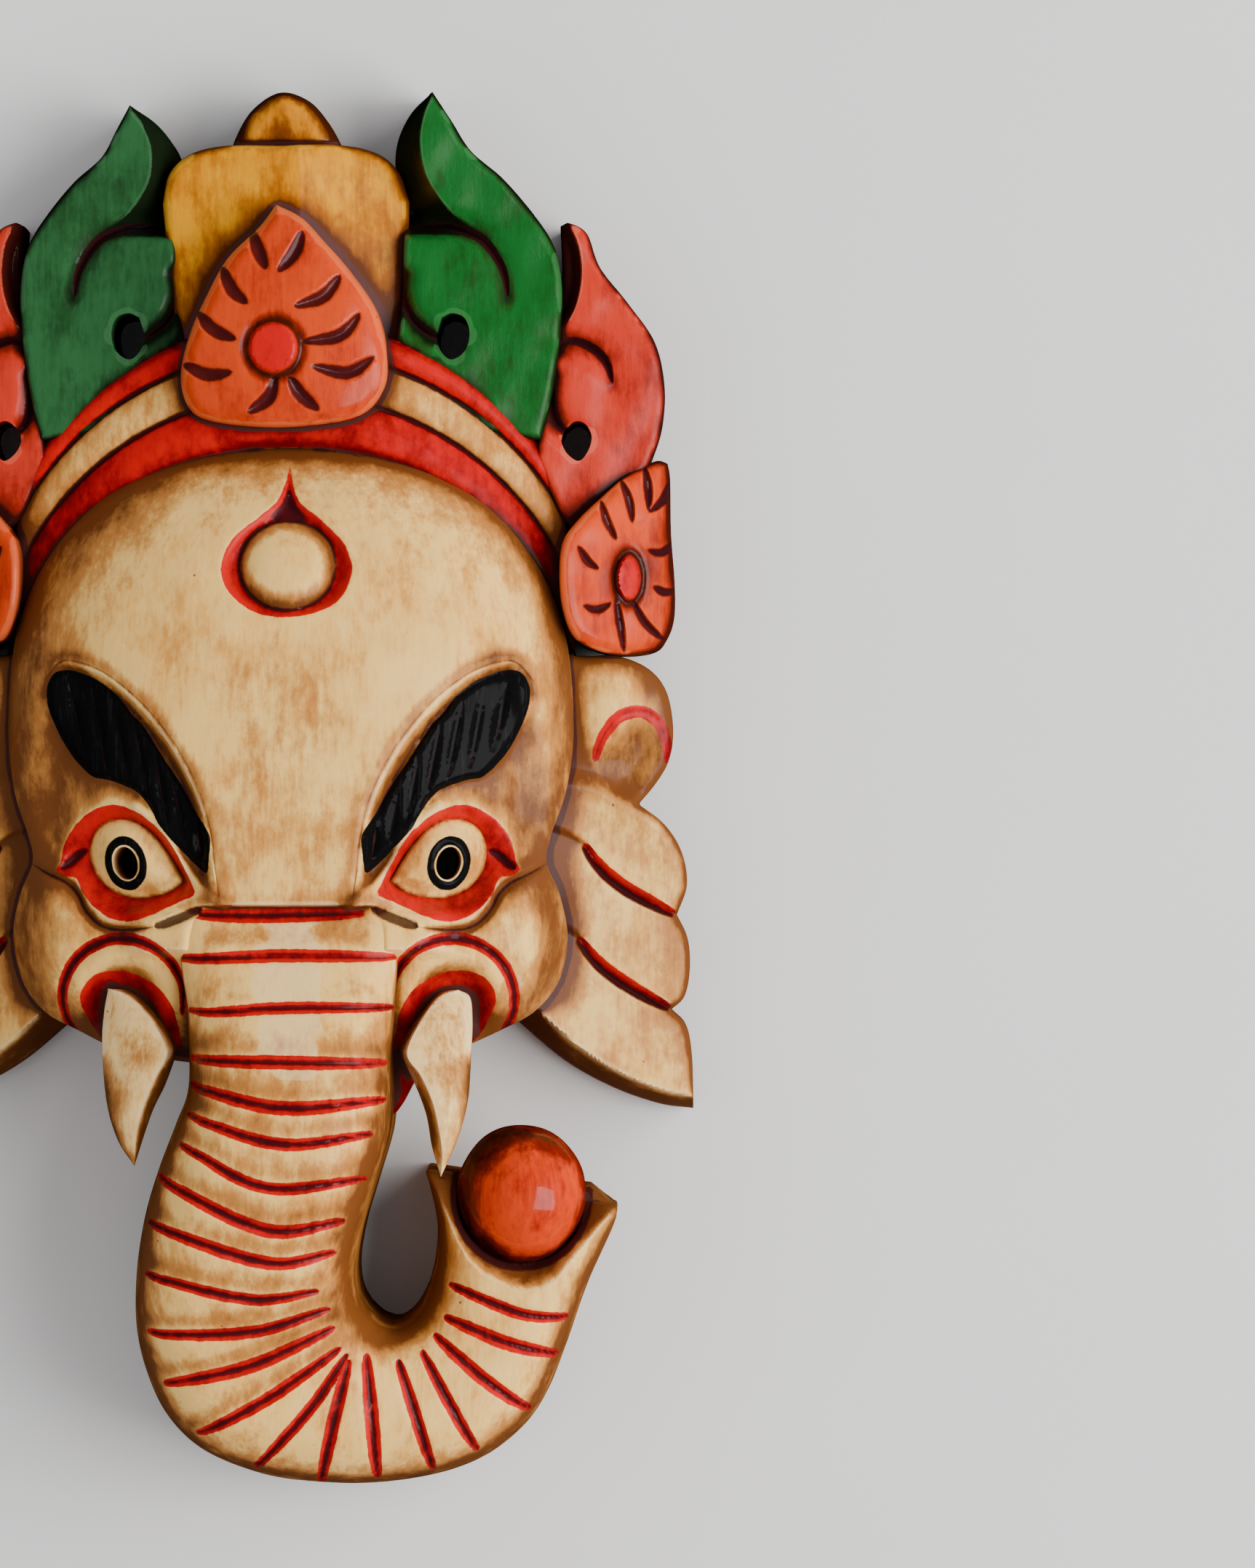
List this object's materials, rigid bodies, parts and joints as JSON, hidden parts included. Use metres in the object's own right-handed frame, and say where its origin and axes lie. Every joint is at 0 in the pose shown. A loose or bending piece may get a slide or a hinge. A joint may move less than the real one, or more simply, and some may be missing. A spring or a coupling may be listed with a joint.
{
  "type": "ganesha mask",
  "caption": "Carved wooden wall mask of an elephant-headed god with a leafy crown, winged ears, tusks and a ringed trunk that curls up to hold a ball.",
  "frame": {"origin": "on the flat back, under the middle of the mask's outline", "axes": "the mask lies on its back: +Z is out of the face, +Y towards the crown, and +X towards the side the trunk curls to"},
  "size_m": [0.1912, 0.33, 0.0799],
  "materials": {
    "painted_wood": "hand-carved, painted in several colours, waxed dark in the hollows and varnished"
  },
  "bodies": {
    "root": {"ganesha_mask": "painted_wood"}
  },
  "joints": []
}
